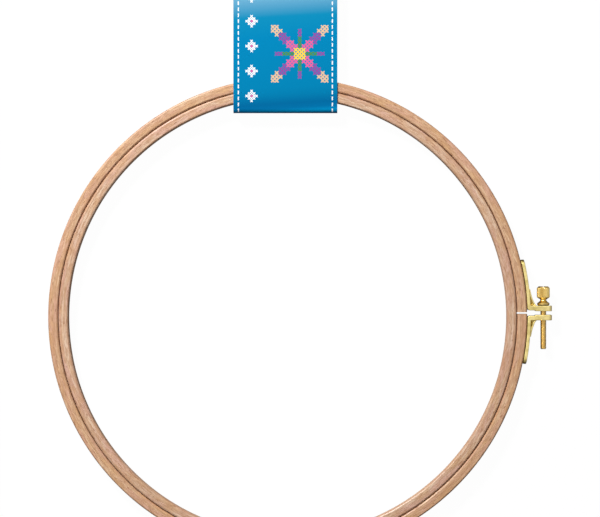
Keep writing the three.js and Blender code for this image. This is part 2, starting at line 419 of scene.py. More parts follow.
def linear(hex_colour: str) -> Colour:
    """Turns an sRGB colour to linear.

    Args:
        hex_colour: The colour as # and six hex digits.

    Returns:
        The linear colour, opaque.
    """
    parts = [int(hex_colour[i : i + 2], 16) / 255 for i in (1, 3, 5)]
    red, green, blue = (c / 12.92 if c <= 0.04045 else ((c + 0.055) / 1.055) ** 2.4 for c in parts)
    return red, green, blue, 1.0


def empty_tree(owner: Material | World) -> NodeTree:
    """Gives a material or a world an empty node tree.

    Args:
        owner: The material or the world.

    Returns:
        Its tree.
    """
    owner.use_nodes = True
    owner.node_tree.nodes.clear()
    return owner.node_tree


def add_node(
    tree: NodeTree,
    kind: str,
    inputs: dict[str | int, object] | None = None,
    stops: Sequence[tuple[float, Colour]] = (),
    **settings: object,
) -> Node:
    """Adds a node with its settings and links.

    Args:
        tree: The node tree.
        kind: The node's type, without the ShaderNode in front.
        inputs: For each input, by name or number, a value, the output that feeds it, or the node whose first
            output in use feeds it. A Mix node has its factor at 0, and mixes colours at 6 and 7 or numbers
            at 2 and 3.
        stops: For a colour ramp, each stop's place and colour.
        settings: The node's own settings.

    Returns:
        The node.
    """
    node = tree.nodes.new(f"ShaderNode{kind}")
    for setting, value in settings.items():
        setattr(node, setting, value)
    for key, value in (inputs or {}).items():
        if isinstance(value, Node):
            value = next(output for output in value.outputs if output.enabled)
        if isinstance(value, NodeSocket):
            tree.links.new(value, node.inputs[key])
        else:
            node.inputs[key].default_value = value
    for i, (position, colour) in enumerate(stops):
        elements = node.color_ramp.elements
        element = elements[i] if i < len(elements) else elements.new(position)
        element.position = position
        element.color = colour
    return node


@dataclass(frozen=True)
class GrainLayer:
    """One layer of a wood's figure: a noise that is drawn out along the grain.

    size is how long its marks are along the strip, across it and up, in millimetres. The noise's values from
    low to high become 0 to 1, and strength is how much its colour then covers.
    """

    size: tuple[float, float, float]
    detail: float
    low: float
    high: float
    strength: float
    roughness: float = 0.62  # how strong its finer marks are

    def noise(self, tree: NodeTree, strip: Node | NodeSocket) -> Node:
        """Makes the layer's noise.

        Args:
            tree: The material's nodes.
            strip: The place along the strip.

        Returns:
            A value from 0 to 1.
        """
        finer = tuple(1 / part for part in self.size)
        place = add_node(tree, "VectorMath", {0: strip, 1: finer}, operation="MULTIPLY")
        grain = {"Vector": place, "Scale": 1.0, "Detail": self.detail, "Roughness": self.roughness}
        stretch = {"Value": add_node(tree, "TexNoise", grain), "From Min": self.low, "From Max": self.high}
        return add_node(tree, "MapRange", stretch, interpolation_type="SMOOTHSTEP")


@dataclass(frozen=True)
class SteamedBeech:
    """Steamed beech, planed, bent and sanded, without varnish.

    Steaming turns it a pinkish tan. It is dull, with fine streaks along the grain and short dark ray flecks.
    Its long edges are smoother and shinier than its faces from burnishing, and painted browner there as
    painted shade.
    """

    name: str
    width: float
    height: float
    pale: str
    tan: str
    pink: str
    ochre: str
    fibre: str = "#B68864"
    pore: str = "#A67C60"
    fleck: str = "#96664A"
    # Painted shade: the colour that darkens the long edges, which burnishing also makes smoother.
    painted_edge_shade: str = "#8C4C24"
    glue: str = "#7A4E34"
    streaks: GrainLayer = GrainLayer((46.0, 1.0, 1.0), detail=3.0, low=0.34, high=0.66, strength=1.0)
    pinks: GrainLayer = GrainLayer((19.0, 3.0, 3.0), detail=2.0, low=0.4, high=0.64, strength=0.75)
    ochres: GrainLayer = GrainLayer((12.0, 4.4, 4.4), detail=2.0, low=0.46, high=0.68, strength=0.6)
    fibres: GrainLayer = GrainLayer((4.5, 0.7, 0.7), detail=2.0, low=0.4, high=0.62, strength=0.6)
    pores: GrainLayer = GrainLayer((2.2, 0.46, 0.46), detail=1.0, low=0.52, high=0.72, strength=0.5)
    # Real ray flecks are finer. These are drawn a little coarse, to show.
    flecks: GrainLayer = GrainLayer((2.8, 0.7, 0.7), detail=0.0, low=0.7, high=0.78, strength=0.6)
    roughness: tuple[float, float] = (0.5, 0.6)
    specular: float = 0.22
    bump_height: float = 0.05
    bump_strength: float = 0.5
    burnish_and_shade_reach: float = 1.3
    edge_shade_strength: float = 0.26
    burnished_roughness: float = 0.22
    burnished_specular: float = 0.6
    glue_width: float = 0.12
    glue_strength: float = 0.8
    ring_length: float = 0.0  # how long the strip is, where its ends are glued in a scarf
    scarf_slope: float = 0.0  # how far the scarf runs along for each millimetre that it goes across

    def _grain(self, tree: NodeTree) -> tuple[Node | NodeSocket, Node | None]:
        """Gives the place along the strip. Where there is a scarf, the grain of one end stops at it.

        Args:
            tree: The material's nodes.

        Returns:
            The place, and the distance to the scarf's glue line, or None.
        """
        strip = add_node(tree, "Attribute", attribute_name=GRAIN).outputs["Vector"]
        if not self.scarf_slope:
            return strip, None
        parts = add_node(tree, "SeparateXYZ", {0: strip}).outputs
        line = {0: parts["Y"], 1: -self.scarf_slope, 2: parts["X"]}
        slant = add_node(tree, "Math", line, operation="MULTIPLY_ADD")
        # How far past the slanting glue line the place is. Beyond it, the strip is counted from its far end.
        past = add_node(tree, "Math", {0: slant, 1: self.ring_length / 2}, operation="SUBTRACT")
        beyond = add_node(tree, "Math", {0: past, 1: 0.0}, operation="GREATER_THAN")
        back = {0: (-self.ring_length, 0, 0), "Scale": beyond}
        jump = add_node(tree, "VectorMath", back, operation="SCALE")
        shifted = add_node(tree, "VectorMath", {0: strip, 1: jump}, operation="ADD")
        return shifted, add_node(tree, "Math", {0: past}, operation="ABSOLUTE")

    def _burnish_and_shade(self, tree: NodeTree) -> Node:
        """Gives the long-edge mask, for burnishing and for painted shade: 1 on its four long edges and 0 at
        its reach from them.

        Args:
            tree: The material's nodes.

        Returns:
            A value from 0 to 1.
        """
        strip = add_node(tree, "Attribute", attribute_name=GRAIN).outputs["Vector"]
        off = add_node(tree, "VectorMath", {0: strip}, operation="ABSOLUTE")
        parts = add_node(tree, "SeparateXYZ", {0: off}).outputs
        near = []
        for part, size in ((parts["Y"], self.width), (parts["Z"], self.height)):
            reach = {"Value": part, "From Min": size / 2 - self.burnish_and_shade_reach, "From Max": size / 2}
            near.append(add_node(tree, "MapRange", reach, interpolation_type="SMOOTHSTEP"))
        return add_node(tree, "Math", {0: near[0], 1: near[1]}, operation="MULTIPLY")

    def material(self) -> Material:
        """Makes the wood's material.

        Returns:
            The material.
        """
        material = bpy.data.materials.new(self.name)
        tree = empty_tree(material)
        strip, glue_distance = self._grain(tree)
        burnish_and_shade = self._burnish_and_shade(tree)
        streaks = self.streaks.noise(tree, strip)
        pores = self.pores.noise(tree, strip)
        flecks = self.flecks.noise(tree, strip)
        colour = linear(self.pale)
        for factor, strength, over in (
            (streaks, self.streaks.strength, self.tan),
            (self.pinks.noise(tree, strip), self.pinks.strength, self.pink),
            (self.ochres.noise(tree, strip), self.ochres.strength, self.ochre),
            (self.fibres.noise(tree, strip), self.fibres.strength, self.fibre),
            (pores, self.pores.strength, self.pore),
            (flecks, self.flecks.strength, self.fleck),
            # The long edges take painted shade here.
            (burnish_and_shade, self.edge_shade_strength, self.painted_edge_shade),
        ):
            share = add_node(tree, "Math", {0: factor, 1: strength}, operation="MULTIPLY")
            colour = add_node(tree, "Mix", {0: share, 6: colour, 7: linear(over)}, data_type="RGBA")
        if glue_distance is not None:
            reach = self.glue_width * self.scarf_slope
            fade = {"From Min": reach / 2, "From Max": reach, "To Min": self.glue_strength, "To Max": 0.0}
            line = add_node(tree, "MapRange", {"Value": glue_distance, **fade})
            colour = add_node(tree, "Mix", {0: line, 6: colour, 7: linear(self.glue)}, data_type="RGBA")
        low, high = self.roughness
        rough = add_node(tree, "MapRange", {"Value": streaks, "To Min": low, "To Max": high})
        smoothed = {"Value": burnish_and_shade, "To Min": rough, "To Max": self.burnished_roughness}
        sheen = {"Value": burnish_and_shade, "To Min": self.specular, "To Max": self.burnished_specular}
        hollow = add_node(tree, "Math", {0: pores, 1: flecks}, operation="MAXIMUM")
        height = add_node(tree, "Math", {0: streaks, 1: hollow}, operation="SUBTRACT")
        bump = {"Height": height, "Distance": self.bump_height * MM, "Strength": self.bump_strength}
        surface = {
            "Base Color": colour,
            "Roughness": add_node(tree, "MapRange", smoothed),
            "Specular IOR Level": add_node(tree, "MapRange", sheen),
            "Normal": add_node(tree, "Bump", bump),
        }
        add_node(tree, "OutputMaterial", {"Surface": add_node(tree, "BsdfPrincipled", surface)})
        return material


@dataclass(frozen=True)
class BareMetal:
    """A metal whose surface is a little uneven.

    Its noise follows the piece: grain is its size along X, Y and Z in millimetres, so a turned piece has its
    marks round it and a casting has them alike every way.
    """

    name: str
    bright: str
    dull: str
    roughness: tuple[float, float]
    grain: tuple[float, float, float]
    bump_height: float
    bump_strength: float = 0.6
    detail: float = 3.0  # of its two noises
    tarnish_size: float = 6.0
    tarnish_range: tuple[float, float] = (0.4, 0.75)  # the noise's values where it is bright and dull
    tip_shade_colour: str = ""  # its painted shade colour where the tip shade is 1, if the piece has any

    def material(self) -> Material:
        """Makes the metal's material.

        Returns:
            The material.
        """
        material = bpy.data.materials.new(self.name)
        tree = empty_tree(material)
        place = add_node(tree, "TexCoord").outputs["Object"]
        noises = []
        for size in ((self.tarnish_size,) * 3, self.grain):
            finer = tuple(1 / (part * MM) for part in size)
            scaled = add_node(tree, "VectorMath", {0: place, 1: finer}, operation="MULTIPLY")
            noise = {"Vector": scaled, "Scale": 1.0, "Detail": self.detail}
            noises.append(add_node(tree, "TexNoise", noise))
        tarnish, marks = noises
        stops = tuple(zip(self.tarnish_range, (linear(self.bright), linear(self.dull))))
        colour = add_node(tree, "ValToRGB", {0: tarnish}, stops)
        if self.tip_shade_colour:
            tip_shade = add_node(tree, "Attribute", attribute_name=TIP_SHADE).outputs["Fac"]
            # Painted shade: the bracket's tips are darkened towards this colour.
            colour = add_node(tree, "Mix", {0: tip_shade, 6: colour, 7: linear(self.tip_shade_colour)}, data_type="RGBA")
        low, high = self.roughness
        bump = {"Height": marks, "Distance": self.bump_height * MM, "Strength": self.bump_strength}
        surface = {
            "Base Color": colour,
            "Metallic": 1.0,
            "Roughness": add_node(tree, "MapRange", {"Value": marks, "To Min": low, "To Max": high}),
            "Normal": add_node(tree, "Bump", bump),
        }
        add_node(tree, "OutputMaterial", {"Surface": add_node(tree, "BsdfPrincipled", surface)})
        return material


@dataclass(frozen=True)
class Stitches:
    """A printed figure of cross stitches: which cells of its grid are stitched, in which colour.

    middle is its place on the card in millimetres, from the left edge and down from the front panel's top.
    The colours go by the greater of a cell's two distances from the middle, on the cells near a diagonal and
    on the cells of the upright and level lines. Where it repeats, it does so down the card.
    """

    middle: tuple[float, float]
    cell: float
    diagonal: tuple[tuple[int, str | None], ...]
    straight: tuple[tuple[int, str | None], ...]
    repeat: float = PAST_CARD


@dataclass(frozen=True)
class CoatedCard:
    """Printed and coated carton: smooth, half glossy, a blue that pales towards its top, with stitches, and
    painted shade that darkens it round the fold.
    """

    name: str
    width: float
    length: float
    ground_and_fold_shade: tuple[tuple[float, str], ...]  # how far down the card, and the colour there: print, with painted shade round the fold
    figures: tuple[Stitches, ...]
    slant: float = 0.02  # how much higher the colours down the card are at its right edge, as a share of length
    thread: str = "#F4F6F6"
    arm_reach: float = 0.26  # of a cross stitch's thread to each side of its diagonal, as a share of a cell
    rule_inset: float = 2.6  # of the running stitch from the card's edge
    rule_width: float = 0.62
    rule_stitch: float = 3.1
    rule_share: float = 0.62  # how much of each running stitch is thread. The rest is a gap
    ramp_cells: int = 12  # how many cells from its middle a figure's colours reach
    diagonal_reach: float = 1.5  # how near a cell is to a diagonal to be stitched, in cells
    straight_reach: float = 0.5  # the same, to the upright and level lines
    roughness: tuple[float, float] = (0.34, 0.46)
    specular: float = 0.04
    fibre_scale: float = 2.2  # marks in each millimetre
    fibre_detail: float = 3.0
    bump_height: float = 0.01
    bump_strength: float = 0.4

    def _figure(self, tree: NodeTree, place: Node, figure: Stitches, colour: Node) -> Node:
        """Prints one figure over a colour.

        Args:
            tree: The material's nodes.
            place: The place on the card, in millimetres.
            figure: The figure.
            colour: The colour under it.

        Returns:
            The colour with the figure over it.
        """
        corner = tuple(part - figure.cell / 2 for part in figure.middle)
        reach = figure.repeat / 2
        moved = add_node(tree, "VectorMath", {0: place, 1: (*corner, 0)}, operation="SUBTRACT")
        field = {0: moved, 1: (PAST_CARD, reach, 1), 2: (-PAST_CARD, -reach, 0)}
        wrapped = add_node(tree, "VectorMath", field, operation="WRAP")
        cells = add_node(tree, "VectorMath", {0: wrapped, 1: (1 / figure.cell,) * 3}, operation="MULTIPLY")
        # The cell, counted from the figure's middle, and the place's distance from that cell's middle.
        index = add_node(tree, "VectorMath", {0: cells}, operation="FLOOR")
        within = add_node(tree, "VectorMath", {0: cells}, operation="FRACTION")
        centred = add_node(tree, "VectorMath", {0: within, 1: (0.5, 0.5, 0)}, operation="SUBTRACT")
        # Of each of the two, the greater and the lesser distance, and the gap between them, which is nothing
        # on a diagonal.
        spans = []
        for vector in (index, centred):
            size = add_node(tree, "VectorMath", {0: vector}, operation="ABSOLUTE")
            parts = add_node(tree, "SeparateXYZ", {0: size}).outputs
            both = {0: parts["X"], 1: parts["Y"]}
            far, near = (add_node(tree, "Math", both, operation=end) for end in ("MAXIMUM", "MINIMUM"))
            spans.append((far, near, add_node(tree, "Math", {0: far, 1: near}, operation="SUBTRACT")))
        (cell_far, cell_near, cell_gap), (_, _, stitch_gap) = spans
        crossed = add_node(tree, "Math", {0: stitch_gap, 1: self.arm_reach}, operation="LESS_THAN")
        ramped = add_node(tree, "Math", {0: cell_far, 1: 1 / self.ramp_cells}, operation="MULTIPLY")
        for distance, table, reach in (
            (cell_gap, figure.diagonal, self.diagonal_reach),
            (cell_near, figure.straight, self.straight_reach),
        ):
            stops = tuple(
                (max(0.0, (start - 0.5) / self.ramp_cells), linear(shade) if shade else CLEAR)
                for start, shade in table
            )
            ramp = add_node(tree, "ValToRGB", {0: ramped}, stops)
            ramp.color_ramp.interpolation = "CONSTANT"
            chosen = add_node(tree, "Math", {0: distance, 1: reach}, operation="LESS_THAN")
            inked = add_node(tree, "Math", {0: chosen, 1: crossed}, operation="MULTIPLY")
            factor = add_node(tree, "Math", {0: inked, 1: ramp.outputs["Alpha"]}, operation="MULTIPLY")
            colour = add_node(tree, "Mix", {0: factor, 6: colour, 7: ramp}, data_type="RGBA")
        return colour

    def _running_stitch(self, tree: NodeTree, place: Node, colour: Node) -> Node:
        """Prints a running stitch down both long edges over a colour.

        Args:
            tree: The material's nodes.
            place: The place on the card, in millimetres.
            colour: The colour under it.

        Returns:
            The colour with the stitches over it.
        """
        parts = add_node(tree, "SeparateXYZ", {0: place}).outputs
        off = add_node(tree, "Math", {0: parts["X"], 1: self.width / 2}, operation="SUBTRACT")
        side = add_node(tree, "Math", {0: off}, operation="ABSOLUTE")
        rule = {0: side, 1: self.width / 2 - self.rule_inset, 2: self.rule_width / 2}
        line = add_node(tree, "Math", rule, operation="COMPARE")
        turns = add_node(tree, "Math", {0: parts["Y"], 1: 1 / self.rule_stitch}, operation="MULTIPLY")
        part = add_node(tree, "Math", {0: turns}, operation="FRACT")
        dash = add_node(tree, "Math", {0: part, 1: self.rule_share}, operation="LESS_THAN")
        ink = add_node(tree, "Math", {0: line, 1: dash}, operation="MULTIPLY")
        return add_node(tree, "Mix", {0: ink, 6: colour, 7: linear(self.thread)}, data_type="RGBA")

    def material(self) -> Material:
        """Makes the printed face's material.

        Returns:
            The material.
        """
        material = bpy.data.materials.new(self.name)
        tree = empty_tree(material)
        uv = add_node(tree, "UVMap", uv_map=PRINT)
        place = add_node(tree, "VectorMath", {0: uv, 1: (self.width, self.length, 0)}, operation="MULTIPLY")
        slope = add_node(tree, "VectorMath", {0: uv, 1: (self.slant, 1.0, 0)}, operation="DOT_PRODUCT")
        stops = tuple((down / self.length, linear(shade)) for down, shade in self.ground_and_fold_shade)
        colour = self._running_stitch(tree, place, add_node(tree, "ValToRGB", {0: slope}, stops))
        for figure in self.figures:
            colour = self._figure(tree, place, figure, colour)
        noise = {"Vector": place, "Scale": self.fibre_scale, "Detail": self.fibre_detail}
        fibres = add_node(tree, "TexNoise", noise)
        bump = {"Height": fibres, "Distance": self.bump_height * MM, "Strength": self.bump_strength}
        low, high = self.roughness
        surface = {
            "Base Color": colour,
            "Roughness": add_node(tree, "MapRange", {"Value": fibres, "To Min": low, "To Max": high}),
            "Specular IOR Level": self.specular,
            "Normal": add_node(tree, "Bump", bump),
        }
        add_node(tree, "OutputMaterial", {"Surface": add_node(tree, "BsdfPrincipled", surface)})
        return material


@dataclass(frozen=True)
class BareBoard:
    """Uncoated grey-white carton, as on the card's inside and its cut edges: dull, with short fibres."""

    width: float
    length: float
    name: str = "bare_carton"
    pale: str = "#E6E4DE"
    fibre: str = "#CFCBC1"
    fibre_size: float = 0.5
    fibre_detail: float = 4.0
    fibre_range: tuple[float, float] = (0.35, 0.8)  # the noise's values where it is pale and darker
    roughness: float = 0.85

    def material(self) -> Material:
        """Makes the bare carton's material.

        Returns:
            The material.
        """
        material = bpy.data.materials.new(self.name)
        tree = empty_tree(material)
        uv = add_node(tree, "UVMap", uv_map=PRINT)
        fibres = (self.width / self.fibre_size, self.length / self.fibre_size, 0)
        place = add_node(tree, "VectorMath", {0: uv, 1: fibres}, operation="MULTIPLY")
        noise = add_node(tree, "TexNoise", {"Vector": place, "Scale": 1.0, "Detail": self.fibre_detail})
        stops = tuple(zip(self.fibre_range, (linear(self.pale), linear(self.fibre))))
        surface = {"Base Color": add_node(tree, "ValToRGB", {0: noise}, stops), "Roughness": self.roughness}
        add_node(tree, "OutputMaterial", {"Surface": add_node(tree, "BsdfPrincipled", surface)})
        return material


# Pieces


@dataclass(frozen=True)
class BentRing:
    """A ring bent from a planed strip, its four long edges sanded round. Sizes in millimetres."""

    inner: float
    outer: float
    height: float
    edge_radius: float = 1.0
    steps: int = 480
    edge_steps: int = 5

    @property
    def middle_radius(self) -> float:
        """The radius at the middle of the strip."""
        return (self.inner + self.outer) / 2

    @property
    def length(self) -> float:
        """How long the strip is, at its middle."""
        return FULL_TURN * self.middle_radius

    def spun(self) -> BMesh:
        """Spins the strip's section all round and rounds its long edges.

        Returns:
            A closed mesh.
        """
        bm = bmesh.new()
        half = self.height / 2
        corners = [(self.inner, -half), (self.outer, -half), (self.outer, half), (self.inner, half)]
        section = chain(bm, [(radius, 0.0, height) for radius, height in corners], closed=True)
        bmesh.ops.spin(
            bm, geom=section, cent=MIDDLE, axis=UP, angle=FULL_TURN, steps=self.steps, use_merge=True
        )
        outward(bm)
        rims = [edge for edge in bm.edges if self._runs_round(edge)]
        bevelled(bm, rims, self.edge_radius, self.edge_steps)
        return bm

    @staticmethod
    def _runs_round(edge: BMEdge) -> bool:
        """Whether an edge goes round the ring."""
        first, second = (vert.co for vert in edge.verts)
        return abs(first.z - second.z) < SAME and abs(first.xy.length - second.xy.length) < SAME

    def mark_grain(self, bm: BMesh, start: float) -> None:
        """Writes each face corner's place along, across and up the strip.

        Args:
            bm: The ring's mesh.
            start: The angle at which the strip's length is counted from.
        """
        layer = bm.loops.layers.float_vector.new(GRAIN)
        for face in bm.faces:
            middle = face.calc_center_median()
            face_angle = (math.atan2(middle.y, middle.x) - start) % FULL_TURN
            for loop in face.loops:
                point = loop.vert.co
                angle = (math.atan2(point.y, point.x) - start) % FULL_TURN
                angle += FULL_TURN * round((face_angle - angle) / FULL_TURN)
                loop[layer] = (angle * self.middle_radius, point.xy.length - self.middle_radius, point.z)


@dataclass(frozen=True)
class SplitRing(BentRing):
    """The outer ring: a strip with a gap at the clamp, which springs open opposite it."""

    split: float = 0.0  # the gap's middle, along Y
    gap: float = 1.0

    def cut(self) -> BMesh:
        """Spins the ring and cuts its gap at the clamp, and an edge each side of where it springs.

        Returns:
            A closed mesh.
        """
        bm = self.spun()
        for side in Side:
            everything = bm.verts[:] + bm.edges[:] + bm.faces[:]
            plane = (0, self.split + side.value * self.gap / 2, 0)
            bmesh.ops.bisect_plane(bm, geom=everything, dist=ON_PLANE, plane_co=plane, plane_no=(0, 1, 0))
        waste = [face for face in bm.faces if self._in_gap(face.calc_center_median())]
        bmesh.ops.delete(bm, geom=waste, context="FACES")
        return closed_up(bm)

    def _in_gap(self, point: Vector) -> bool:
        """Whether a point lies in the gap at the clamp."""
        return point.x > 0 and abs(point.y - self.split) < self.gap / 2


@dataclass(frozen=True)
class Rings:
    """Both rings with their wood."""

    place: Place
    inner: BentRing
    outer: SplitRing

    @classmethod
    def from_frame(cls, place: Place, nodes: dict[str, Object]) -> "Rings":
        """Reads both rings' sizes from their CAD nodes.

        Args:
            place: The rings' place.
            nodes: The CAD objects by name.

        Returns:
            The rings.
        """
        low, high = place.box("inner_ring")
        height = high.z - low.z
        near, far = nearest_and_farthest(place, nodes["inner_ring"])
        inner = BentRing(near.xy.length, far.xy.length, height)
        near, far = nearest_and_farthest(place, nodes["outer_ring_lower"])
        lower_top = place.box("outer_ring_lower")[1].y
        upper_foot = place.box("outer_ring_upper")[0].y
        outer = SplitRing(near.xy.length, far.xy.length, height, split=(lower_top + upper_foot) / 2)
        return cls(place, inner, outer)

    def build(self) -> None:
        """Makes both rings and lets them ride. The outer one bends where it springs open."""
        inner_wood = SteamedBeech(
            "steamed_beech_inner",
            width=self.inner.outer - self.inner.inner,
            height=self.inner.height,
            pale="#E4C8AF",
            tan="#C8A385",
            pink="#D2A594",
            ochre="#D3A97E",
            ring_length=self.inner.length,
            scarf_slope=9.0,
        )
        outer_wood = SteamedBeech(
            "steamed_beech_outer",
            width=self.outer.outer - self.outer.inner,
            height=self.outer.height,
            pale="#E2BF9C",
            tan="#C79B75",
            pink="#D3A38D",
            ochre="#D2A372",
        )
        inner = self.inner.spun()
        # The strip's length is counted from the side away from the card, which hides the scarf.
        self.inner.mark_grain(inner, start=-QUARTER)
        piece = finished("beech_inner_ring", inner, self.place, [inner_wood.material()], sharp=50)
        weigh_normals(piece)
        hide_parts("inner_ring")
        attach(piece, "inner")

        outer = self.outer.cut()
        self.outer.mark_grain(outer, start=math.asin(self.outer.split / self.outer.middle_radius))
        piece = finished("beech_outer_ring", outer, self.place, [outer_wood.material()], sharp=50)
        weigh_normals(piece)
        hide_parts("outer_ring_lower", "outer_ring_upper")
        half_gap = self.outer.gap / 2
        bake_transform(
            piece,
            "lower_half",
            "upper_half",
            start=self.place.point(0, self.outer.split - half_gap, 0),
            end=self.place.point(0, self.outer.split + half_gap, 0),
        )


def weigh_normals(piece: Object) -> None:
    """Keeps a piece's flat faces flat between its rounded edges."""
    piece.modifiers.new("flat_faces", "WEIGHTED_NORMAL").keep_sharp = True


@dataclass(frozen=True)
class Bracket:
    """A clamp bracket, die cast and brass plated: a curved base, an ear and a gusset. Millimetres."""

    side: Side
    place: Place
    split: float
    base_length: float
    screw_x: float
    ear_tip: float
    ring_radius: float
    hole_radius: float
    width: float = 7.4
    seat_clearance: float = 0.24
    base_thickness: float = 1.7
    groove_depth: float = 0.6
    rail_width: float = 1.2
    tip_rim: float = 1.6
    tip_corner: float = 2.6
    ear_gap: float = 1.93
    ear_thickness: float = 2.85
    ear_root: float = 1.3
    ear_corner: float = 1.6
    boss_height: float = 0.4  # towards the split
    gusset_length: float = 12.4
    gusset_reach: float = 4.9
    gusset_step: float = 0.5
    gusset_bend: float = 0.25  # where its edge bends, as a share of the way from the ear to its foot
    gusset_curve: float = 92.0  # how much of that edge is curved, in hundredths
    gusset_thickness: float = 1.8
    gusset_flare: float = 0.7  # how far out from the rails its thick root reaches
    bead_width: float = 6.0
    bead_thickness: float = 0.8
    bead_lift: float = 0.03  # out from the gusset's edge
    bead_share: float = 0.985  # its length, as a share of the gusset's
    bead_cut_share: float = 1.02  # the same of what is cut out of it
    tip_shade_length: float = 3.0  # how far the painted shade reaches from the base's tip
    channel_start: float = 0.4  # from the ear
    drill_length: float = 20.0  # half of it on each side of the ear's far face
    arc_steps: int = 48
    curve_steps: int = 12
    hole_steps: int = 64
    voxel: float = 0.125  # fine enough for the cast edges
    rounding: int = 7  # passes of smoothing, which round the edges by about 0.3
    smoothing: float = 0.5  # how far a pass moves a point towards its neighbours' middle, as a share

    @property
    def ear_near(self) -> float:
        """How far the ear's face is from the split, beside its boss."""
        return self.ear_gap / 2 + self.boss_height

    @property
    def ear_far(self) -> float:
        """How far the ear's far face is from the split."""
        return self.ear_gap / 2 + self.ear_thickness

    @property
    def base_radius(self) -> float:
        """The radius of the base's inner face, which follows the wood."""
        return self.ring_radius + self.seat_clearance

    @property
    def rail_radius(self) -> float:
        """The radius of the rails' tops."""
        return self.base_radius + self.base_thickness

    def at(self, distance: float) -> float:
        """The place along Y of a point this far from the split."""
        return self.split + self.side.value * distance

    def angle(self, radius: float, distance: float) -> float:
        """The angle at which a circle about the rings' axis is this far from the split."""
        return math.asin(self.at(distance) / radius)

    def _bar(self, low: float, high: float, widths: tuple[float, float], start: float, end: float) -> BMesh:
        """Spins a bar's section about the rings' axis.

        Args:
            low: The bar's inner radius.
            high: Its outer radius.
            widths: Its widths along Z, at its inner and its outer radius.
            start: Its one end's distance from the split.
            end: Its other end's.

        Returns:
            A closed mesh.
        """
        bm = bmesh.new()
        middle = (low + high) / 2
        first, last = self.angle(middle, start), self.angle(middle, end)
        inner, outer = (width / 2 for width in widths)
        corners = [(low, -inner), (high, -outer), (high, outer), (low, inner)]
        points = [(r * math.cos(first), r * math.sin(first), z) for r, z in corners]
        section = chain(bm, points, closed=True)
        bmesh.ops.spin(bm, geom=section, cent=MIDDLE, axis=UP, angle=last - first, steps=self.arc_steps)
        return outward(closed_up(bm))

    def _base(self) -> BMesh:
        """Makes the base with its two rounded corners at the tip.

        Returns:
            A closed mesh.
        """
        root = self.ear_near + self.ear_root
        bar = self._bar(self.base_radius, self.rail_radius, (self.width,) * 2, root, self.base_length)
        tip = self.at(self.base_length)
        half = self.width / 2
        low_y, high_y = sorted((tip, self.at(-self.width)))
        blank = block((self.base_radius / 2, low_y, -half), (2 * self.base_radius, high_y, half))
        corners = [edge for edge in blank.edges if self._runs_along(edge, 0, 1, tip)]
        bevelled(blank, corners, self.tip_corner)
        return combined(bar, outward(blank), Combine.KEEP_SHARED)

    def _prism(
        self,
        outline: Sequence[tuple[float, float]],
        width: float,
        corner: int,
        reach: float,
        measure: Measure,
    ) -> BMesh:
        """Extrudes an outline seen from above.

        Args:
            outline: Its corners, X and Y.
            width: The prism's height along Z, half of it each side of the rings' middle.
            corner: Which corner is rounded.
            reach: How far from the corner the curve starts.
            measure: How the reach is given.

        Returns:
            A closed mesh.
        """
        bm = bmesh.new()
        verts = [bm.verts.new((x, y, -width / 2)) for x, y in outline]
        bm.faces.new(verts)
        bevelled(bm, [verts[corner]], reach, self.curve_steps, measure)
        out = bmesh.ops.extrude_face_region(bm, geom=bm.faces[:])
        moved = [item for item in out["geom"] if isinstance(item, BMVert)]
        bmesh.ops.translate(bm, vec=(0, 0, width), verts=moved)
        return outward(bm)

    def _gusset(self, width: float) -> BMesh:
        """Makes the web that props the ear on the base, at the middle of the bracket's width.

        Args:
            width: Its thickness along Z.

        Returns:
            A closed mesh.
        """
        root_radius = self.base_radius + (self.base_thickness - self.groove_depth) / 2
        foot_y = self.at(self.gusset_length)
        foot_x = math.sqrt((self.rail_radius + self.gusset_step) ** 2 - foot_y**2)
        top_x = self.ring_radius + self.gusset_reach
        bend_y = self.at(self.ear_far + (self.gusset_length - self.ear_far) * self.gusset_bend)
        bend_x = (foot_x + top_x) / 2 - self.gusset_step
        sunk_y = self.at(self.ear_far - self.ear_thickness / 2)
        outline = [
            (math.sqrt(root_radius**2 - foot_y**2), foot_y),
            (foot_x, foot_y),
            (bend_x, bend_y),
            (top_x, self.at(self.ear_far)),
            (top_x, sunk_y),
            (math.sqrt(root_radius**2 - sunk_y**2), sunk_y),
        ]
        return self._prism(outline, width, corner=2, reach=self.gusset_curve, measure=Measure.SHARE)

    def _ear(self) -> BMesh:
        """Makes the ear: a bar out from the base with a round root, and a thicker end about the screw.

        Returns:
            A closed mesh.
        """
        near, far = self.at(self.ear_near), self.at(self.ear_far)
        root_x = math.sqrt(self.base_radius**2 - near**2)
        outline = [(root_x, near), (self.screw_x, near), (self.screw_x, far), (root_x, far)]
        bar = self._prism(outline, self.width, corner=0, reach=self.ear_root, measure=Measure.LENGTH)
        low_y, high_y = sorted((self.at(self.ear_gap / 2), far))
        half = self.width / 2
        end = block((2 * self.screw_x - self.ear_tip, low_y, -half), (self.ear_tip, high_y, half))
        corners = [edge for edge in end.edges if self._runs_along(edge, 1, 0, self.ear_tip)]
        bevelled(end, corners, self.ear_corner)
        return combined(bar, end, Combine.JOIN)

    @staticmethod
    def _runs_along(edge: BMEdge, way: int, axis: int, place: float) -> bool:
        """Whether a block's edge runs along one axis at a place on another.

        Args:
            edge: The edge.
            way: The axis that it runs along.
            axis: The axis on which its place counts.
            place: The place on that axis.

        Returns:
            Whether it does.
        """
        first, second = (vert.co for vert in edge.verts)
        runs = abs(first[way] - second[way]) > SAME
        return runs and all(abs(point[axis] - place) < SAME for point in (first, second))

